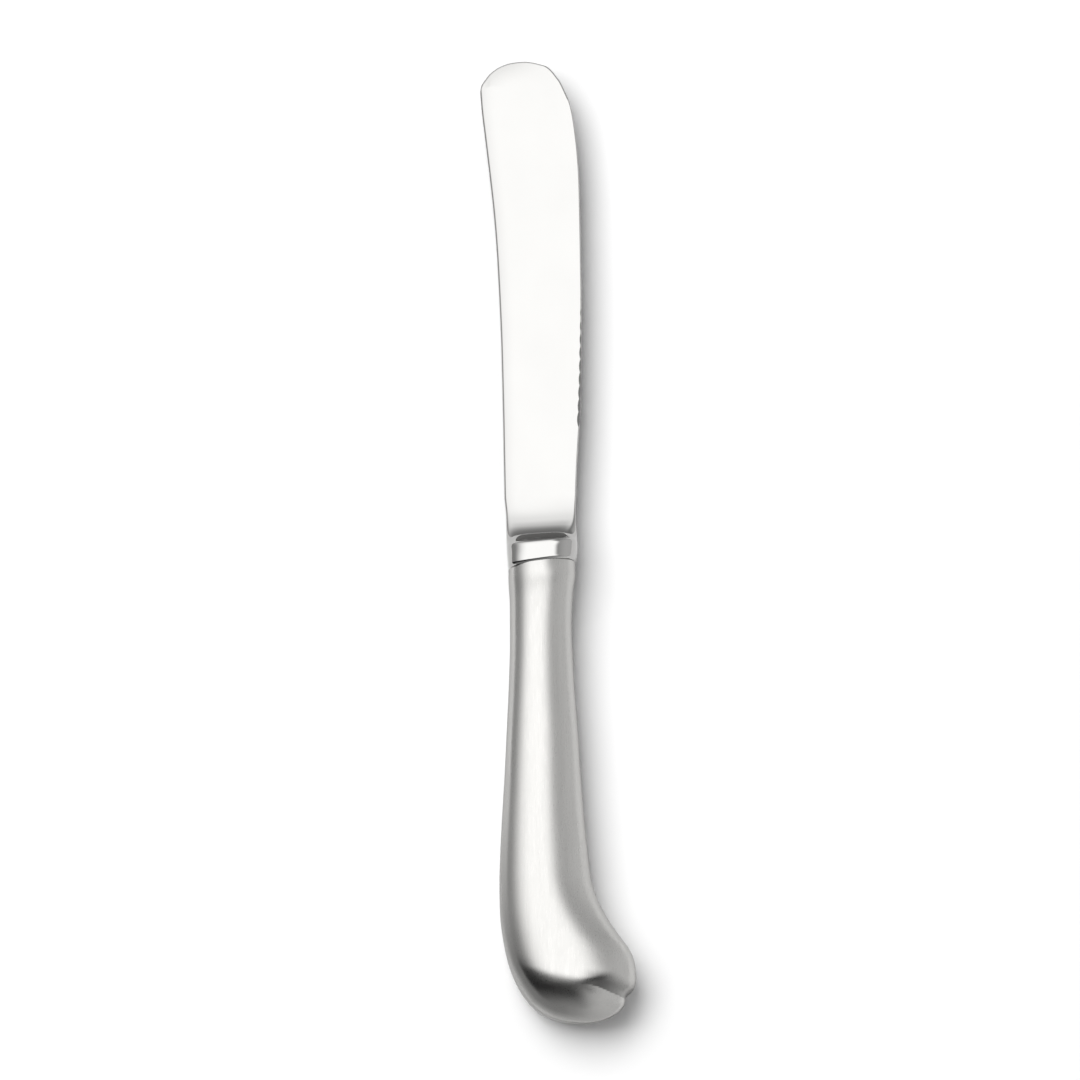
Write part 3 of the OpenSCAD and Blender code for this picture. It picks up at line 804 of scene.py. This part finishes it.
def darken_by_mark(tree, shader, attribute, level):
    """Base colour brought down to a level of itself where the piece's own attribute is 1."""
    colour = shader.inputs["Base Color"].links[0].from_socket
    mark = tree.nodes.new("ShaderNodeAttribute")
    mark.attribute_name = attribute
    shade = ranged(tree, mark.outputs["Fac"], 1, level, 0, 1)
    darkening = tree.nodes.new("ShaderNodeMix")
    darkening.data_type = "RGBA"
    darkening.blend_type = "MULTIPLY"
    darkening.inputs["Factor"].default_value = 1
    sockets = {socket.identifier: socket for socket in darkening.inputs}
    tree.links.new(colour, sockets["A_Color"])
    tree.links.new(shade, sockets["B_Color"])
    results = {socket.identifier: socket for socket in darkening.outputs}
    tree.links.new(results["Result_Color"], shader.inputs["Base Color"])


def polished_steel(colour):
    """Mirror polish: fine lines along the blade left by the mop, and slight cloudiness in the gloss.
    The scallops are ground after it, and their base colour is darkened to half."""
    material, tree, shader = new_material("polished_steel")
    shader.inputs["Metallic"].default_value = 1
    lines = stretched_noise(tree, scale=(5200, 60, 5200), detail=3)
    cloud = stretched_noise(tree, scale=(120, 90, 120), detail=2)
    tinted(tree, shader, colour, cloud, depth=0.02)
    darken_by_mark(tree, shader, "ground", level=0.5)
    tree.links.new(ranged(tree, lines, low=0.045, high=0.09), shader.inputs["Roughness"])
    add_bump(tree, shader, lines, distance=0.000002, strength=0.12)
    return material


def satin_steel(colour):
    """Satin brushing: broken fine lines along the handle over a soft gloss, with long streaks of tone,
    and painted shade in the fold above the crease, where the base colour is darkened."""
    material, tree, shader = new_material("satin_steel")
    set_inputs(shader, {"Metallic": 1, "Specular Tint": (0.6, 0.6, 0.6, 1)})
    fine = stretched_noise(tree, scale=(9000, 260, 9000), detail=4)
    broad = stretched_noise(tree, scale=(1500, 40, 1500), detail=3)
    tinted(tree, shader, colour, broad, depth=0.05)
    # Painted shade: the base colour falls to a quarter in the fold above the crease
    darken_by_mark(tree, shader, "crease", level=0.25)
    tree.links.new(ranged(tree, fine, low=0.26, high=0.33), shader.inputs["Roughness"])
    streaks = add_bump(tree, shader, broad, distance=0.000004, strength=0.12)
    add_bump(tree, shader, fine, distance=0.000003, strength=0.2, under=streaks)
    return material


def braze_metal(colour):
    """Ground-flush braze: soft gloss with small pores."""
    material, tree, shader = new_material("braze")
    shader.inputs["Metallic"].default_value = 1
    pores = stretched_noise(tree, scale=(2600, 2600, 2600), detail=3)
    tinted(tree, shader, colour, pores, depth=0.15)
    tree.links.new(ranged(tree, pores, low=0.3, high=0.45), shader.inputs["Roughness"])
    add_bump(tree, shader, pores, distance=0.00001, strength=0.3)
    return material


def casting_cement(colour):
    """Dry cement: matt, grainy, a little uneven in tone."""
    material, tree, shader = new_material("filling")
    grain = stretched_noise(tree, scale=(1800, 1800, 1800), detail=6, rough=0.7)
    tinted(tree, shader, colour, grain, depth=0.2)
    tree.links.new(ranged(tree, grain, low=0.75, high=0.95), shader.inputs["Roughness"])
    add_bump(tree, shader, grain, distance=0.00015, strength=0.6)
    return material


# Stage

# Strengths of the studio's parts
PANEL = 2.2
LEFT_WALL = 0.42
MIDDLE_WALL = 0.39
RIGHT_WALL = 0.77
BLACK_SCREEN = 0.02
FAR_GAP = 0.3
EVEN_GREY = 0.33

# Where those parts start and end, by how far a direction points to the right
WALL_MIDDLE_X = (-0.3, 0.15)
WALL_RIGHT_X = (0.12, 0.88)
SCREEN_X = (-0.1, 0.35)
LOW_SCREEN_X = (0.4, 0.9)
PANEL_X = (-0.86, -0.08)

# The same by how far a direction points away past the tip
SCREEN_Y = (-0.1, 0.1)
SCREEN_FOOT_Y = (-1.1, -0.6)
LOW_SCREEN_Y = (-0.02, 0.12)
LOW_SCREEN_FOOT_Y = (-0.45, -0.2)
PANEL_Y = (-0.01, 0.11)
FAR_GAP_Y = (0.75, 0.95)

# The panel's slanting right border: where it stands, its slope, its softness and where the slope holds
PANEL_EDGE = 0.64
PANEL_SLANT = 0.93
PANEL_SOFT = (-0.095, 0.095)
SLANT_Y = (0.15, 0.5)

# Two shares of its strength that the panel loses towards its far end, and where
FAR_FADE = 0.24
FAR_FADE_Y = (0.3, 0.72)
FAR_FALL = 0.625
FAR_FALL_Y = (0.7, 1.02)

# Card round the butt that only reflections see, glowing as a painted reflection of the shaded floor
# there: plan of its foot and its top from the butt's bottom, strengths, and the spans over which they
# change to the right, up from the foot and along the handle
SHADE_CARD_HEIGHT = 0.012
SHADE_CARD_FEET = [
    (-0.018, 0.05), (-0.0145, 0.018), (-0.0105, 0.006),
    (-0.004, -0.002), (0.004, -0.0045), (0.035, -0.0045),
]
SHADE_CARD_TOPS = [
    (-0.024, 0.05), (-0.0205, 0.018), (-0.016, 0.003),
    (-0.0085, -0.0065), (0.001, -0.0102), (0.035, -0.0102),
]
SHADE_CARD_LEFT = 0.3
SHADE_CARD_RIGHT = 0.72
SHADE_CARD_FOOT = 0.7
SHADE_CARD_END = 0.95
SHADE_CARD_RIGHT_SPAN = (0.001, 0.018)
SHADE_CARD_FOOT_SPAN = (0.0, 0.006)
SHADE_CARD_END_SPAN = (0.008, 0.045)

# Soft box overhead, beyond and to the left, shining straight down
LAMP_SIZE = (2.8, 3.75)
LAMP_PLACE = (-1.42, 1.14, 3.0)
LAMP_POWER = 141

# Half the floor's side
FLOOR_HALF = 9.0

# Camera: its height above the horizon, metres to a pixel, the picture's side in pixels, the pixel where
# the butt's bottom lies, how far off it stands and what it sees
CAMERA_HEIGHT = math.radians(72)
SCALE = 0.0001694
PICTURE = 1080
ANCHOR = (542, 1023)
CAMERA_DISTANCE = 1.0
CAMERA_REACH = (0.01, 20)


def make_floor(colour):
    """Large pale floor under the knife that keeps its shadow."""
    mesh = bpy.data.meshes.new("floor")
    r = FLOOR_HALF
    mesh.from_pydata([(-r, -r, 0), (r, -r, 0), (r, r, 0), (-r, r, 0)], [], [(0, 1, 2, 3)])
    floor = add_object("floor", mesh)
    material, tree, shader = new_material("studio_floor")
    set_inputs(shader, {"Base Color": (*colour, 1), "Roughness": 0.9, "Specular IOR Level": 0})
    mesh.materials.append(material)


def make_shade_card(k):
    """Low card that bends round the butt and leans away from it, which only reflections see: a painted
    reflection of the shaded floor there. It glows dark grey at the butt and lighter to the right, at its
    foot and where it runs up beside the handle."""
    mesh = bpy.data.meshes.new("shade_card")
    x, y, _ = knife_shift(k)
    feet = [(x + u, y + v, 0) for u, v in SHADE_CARD_FEET]
    tops = [(x + u, y + v, SHADE_CARD_HEIGHT) for u, v in SHADE_CARD_TOPS]
    faces = grid_quads(np.arange(2 * len(feet)).reshape(2, -1))
    mesh.from_pydata(feet + tops, [], faces.tolist())
    shade_card = add_object("shade_card", mesh)
    material, tree, shader = new_material("studio_shade_card")
    black, white = (0, 0, 0, 1), (1, 1, 1, 1)
    set_inputs(shader, {"Base Color": black, "Specular IOR Level": 0, "Emission Color": white})
    split = axes(tree, "Object")
    side_from, side_to = SHADE_CARD_RIGHT_SPAN
    end_from, end_to = SHADE_CARD_END_SPAN
    upper = ranged(tree, split[0], SHADE_CARD_LEFT, SHADE_CARD_RIGHT, x + side_from, x + side_to)
    level = ranged(tree, split[2], SHADE_CARD_FOOT, SHADE_CARD_LEFT, *SHADE_CARD_FOOT_SPAN)
    tree.links.new(upper, level.node.inputs["To Max"])
    whole = ranged(tree, split[1], 0.0, SHADE_CARD_END, y + end_from, y + end_to)
    tree.links.new(level, whole.node.inputs["To Min"])
    # Painted reflection of shade: the card glows by these strengths, and only reflections see it
    tree.links.new(whole, shader.inputs["Emission Strength"])
    mesh.materials.append(material)
    shade_card.visible_camera = False
    shade_card.visible_diffuse = False
    shade_card.visible_shadow = False


def make_world():
    """Studio around the knife. Metal sees it by the direction that a reflection takes: a large soft
    panel overhead, whose right border slants, whose left side fades and which darkens towards its far
    end, a black screen behind the camera with a lower part that reaches further right, a dark gap low
    beyond the tip, and grey walls elsewhere. The rest is lit by an even grey, and the camera sees
    white."""
    world = bpy.data.worlds.new("studio")
    bpy.context.scene.world = world
    world.use_nodes = True
    tree = world.node_tree
    nodes, links = tree.nodes, tree.links

    def feed(socket, value):
        """Gives a socket a number or a link."""
        if isinstance(value, (int, float)):
            socket.default_value = value
        else:
            links.new(value, socket)

    def reckon(kind, first, *others):
        """A chain of math nodes of a kind, each taking in one more value."""
        for other in others:
            node = nodes.new("ShaderNodeMath")
            node.operation = kind
            feed(node.inputs[0], first)
            feed(node.inputs[1], other)
            first = node.outputs[0]
        return first

    def step(source, span, low=0.0, high=1.0):
        """Smooth step of a source from low at the span's start to high at its end."""
        result = ranged(tree, source, low, high, *span)
        result.node.interpolation_type = "SMOOTHSTEP"
        return result

    def fall(source, span):
        """Smooth step from 1 down to 0."""
        return step(source, span, 1.0, 0.0)

    def blend(under, over, amount):
        """Mix of two strengths, the second where the amount is 1."""
        node = nodes.new("ShaderNodeMix")
        node.data_type = "FLOAT"
        for socket, value in (("Factor", amount), ("A", under), ("B", over)):
            feed(node.inputs[socket], value)
        return node.outputs["Result"]

    x, y, _ = axes(tree, "Generated")
    wall = blend(MIDDLE_WALL, RIGHT_WALL, step(x, WALL_RIGHT_X))
    wall = blend(LEFT_WALL, wall, step(x, WALL_MIDDLE_X))
    near = reckon("MULTIPLY", fall(y, SCREEN_Y), fall(x, SCREEN_X), step(y, SCREEN_FOOT_Y))
    low = reckon("MULTIPLY", fall(y, LOW_SCREEN_Y), step(y, LOW_SCREEN_FOOT_Y), fall(x, LOW_SCREEN_X))
    wall = blend(wall, BLACK_SCREEN, reckon("MAXIMUM", near, low))
    wall = blend(wall, FAR_GAP, step(y, FAR_GAP_Y))
    held = reckon("MINIMUM", reckon("MAXIMUM", y, SLANT_Y[0]), SLANT_Y[1])
    slant = reckon("MULTIPLY", held, PANEL_SLANT)
    past = reckon("SUBTRACT", reckon("ADD", x, slant), PANEL_EDGE)
    panel = reckon("MULTIPLY", step(x, PANEL_X), fall(past, PANEL_SOFT), step(y, PANEL_Y))
    faded = step(y, FAR_FADE_Y, PANEL, PANEL * (1 - FAR_FADE))
    bright = reckon("SUBTRACT", faded, step(y, FAR_FALL_Y, 0.0, PANEL * FAR_FALL))
    seen = blend(wall, bright, panel)
    rays = nodes.new("ShaderNodeLightPath")
    level = blend(EVEN_GREY, seen, rays.outputs["Is Glossy Ray"])
    level = blend(level, 1.0, rays.outputs["Is Camera Ray"])
    links.new(level, nodes["Background"].inputs["Color"])


def make_lamp():
    """Large soft box that throws the shadow. Reflections see the studio instead."""
    data = bpy.data.lights.new("softbox", "AREA")
    data.shape = "RECTANGLE"
    data.size, data.size_y = LAMP_SIZE
    data.energy = LAMP_POWER
    lamp = add_object("softbox", data)
    lamp.location = LAMP_PLACE
    lamp.visible_glossy = False


def make_camera(k):
    """Camera without perspective above the knife, leaned back towards the butt. It is moved so that the
    neck's axis at the butt's bottom, in the middle plane, falls on the anchor pixel."""
    data = bpy.data.cameras.new("camera")
    data.type = "ORTHO"
    data.ortho_scale = SCALE * PICTURE
    camera = add_object("camera", data)
    e = CAMERA_HEIGHT
    back = Vector((0, -math.cos(e), math.sin(e)))
    up = Vector((0, math.sin(e), math.cos(e)))
    right_pixels, up_pixels = ANCHOR[0] - PICTURE / 2, PICTURE / 2 - ANCHOR[1]
    bottom = Vector(knife_shift(k))
    centre = bottom - Vector((1, 0, 0)) * right_pixels * SCALE - up * up_pixels * SCALE
    camera.location = centre + back * CAMERA_DISTANCE
    camera.rotation_euler = (-back).to_track_quat("-Z", "Y").to_euler()
    data.clip_start, data.clip_end = CAMERA_REACH
    bpy.context.scene.camera = camera


# Operators

class BUTTERKNIFE_OT_blade(bpy.types.Operator):
    """Make the polished blade with its neck, scalloped edge and hidden tang"""

    bl_idname = "butterknife.blade"
    bl_label = "Polished Blade"

    def execute(self, context):
        k, f = context.scene.knife_sizes, context.scene.knife_finish
        points, quads, marks = build_blade(k)
        mesh = make_mesh("polished_blade", points, quads, marks)
        place_piece("polished_blade", mesh, polished_steel(f.polished), "blade")
        return {"FINISHED"}


class BUTTERKNIFE_OT_handle(bpy.types.Operator):
    """Make the two satin halves of the hollow handle"""

    bl_idname = "butterknife.handle"
    bl_label = "Handle Halves"

    def execute(self, context):
        k, f = context.scene.knife_sizes, context.scene.knife_finish
        steel = satin_steel(f.satin)
        outside = crease_painted_shade(k)
        # Painted shade for the fold above the crease, carried on the outside as the crease attribute
        marks = [("crease", np.concatenate([outside, np.zeros_like(outside)]))]
        halves = (("satin_half_front", "handle_front", 1), ("satin_half_back", "handle_back", -1))
        for name, node, side in halves:
            points, quads = build_shell(k, side)
            mesh = make_mesh(name, points, quads, marks)
            place_piece(name, mesh, steel, node)
        return {"FINISHED"}


class BUTTERKNIFE_OT_seam(bpy.types.Operator):
    """Make the brazed line and finish the cement inside the handle"""

    bl_idname = "butterknife.seam"
    bl_label = "Seam and Filling"

    def execute(self, context):
        k, f = context.scene.knife_sizes, context.scene.knife_finish
        points, quads = build_seam(k)
        mesh = make_mesh("brazed_line", points, quads)
        place_piece("brazed_line", mesh, braze_metal(f.braze), "seam_braze")
        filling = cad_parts["handle_filling"]
        if not filling.material_slots:
            raise RuntimeError("the filling has no material slot")
        cement = casting_cement(f.cement)
        for slot in filling.material_slots:
            slot.material = cement
        return {"FINISHED"}


class BUTTERKNIFE_OT_stage(bpy.types.Operator):
    """Make the pale floor, the soft studio light and the camera"""

    bl_idname = "butterknife.stage"
    bl_label = "Studio"

    def execute(self, context):
        scene = context.scene
        k, f = scene.knife_sizes, scene.knife_finish
        make_floor(f.floor)
        make_shade_card(k)
        make_world()
        make_lamp()
        make_camera(k)
        scene.view_settings.view_transform = "Standard"
        return {"FINISHED"}


class BUTTERKNIFE_PT_panel(bpy.types.Panel):
    """Sizes, finishes and build steps of the butter knife"""

    bl_idname = "BUTTERKNIFE_PT_panel"
    bl_label = "Butter Knife"
    bl_space_type = "VIEW_3D"
    bl_region_type = "UI"
    bl_category = "Butter Knife"

    def draw(self, context):
        layout = self.layout
        for group in (context.scene.knife_sizes, context.scene.knife_finish):
            box = layout.box()
            for name in group.__annotations__:
                box.prop(group, name)
        for step in STEPS:
            layout.operator(step.bl_idname)


STEPS = (BUTTERKNIFE_OT_blade, BUTTERKNIFE_OT_handle, BUTTERKNIFE_OT_seam, BUTTERKNIFE_OT_stage)
CLASSES = (KnifeSizes, KnifeFinish, *STEPS, BUTTERKNIFE_PT_panel)


def register():
    for c in CLASSES:
        bpy.utils.register_class(c)
    bpy.types.Scene.knife_sizes = PointerProperty(type=KnifeSizes)
    bpy.types.Scene.knife_finish = PointerProperty(type=KnifeFinish)


def unregister():
    del bpy.types.Scene.knife_finish
    del bpy.types.Scene.knife_sizes
    for c in reversed(CLASSES):
        bpy.utils.unregister_class(c)


def main():
    register()
    bpy.ops.butterknife.blade()
    bpy.ops.butterknife.handle()
    bpy.ops.butterknife.seam()
    bpy.ops.butterknife.stage()
    bpy.context.view_layer.update()


if __name__ == "__main__":
    main()
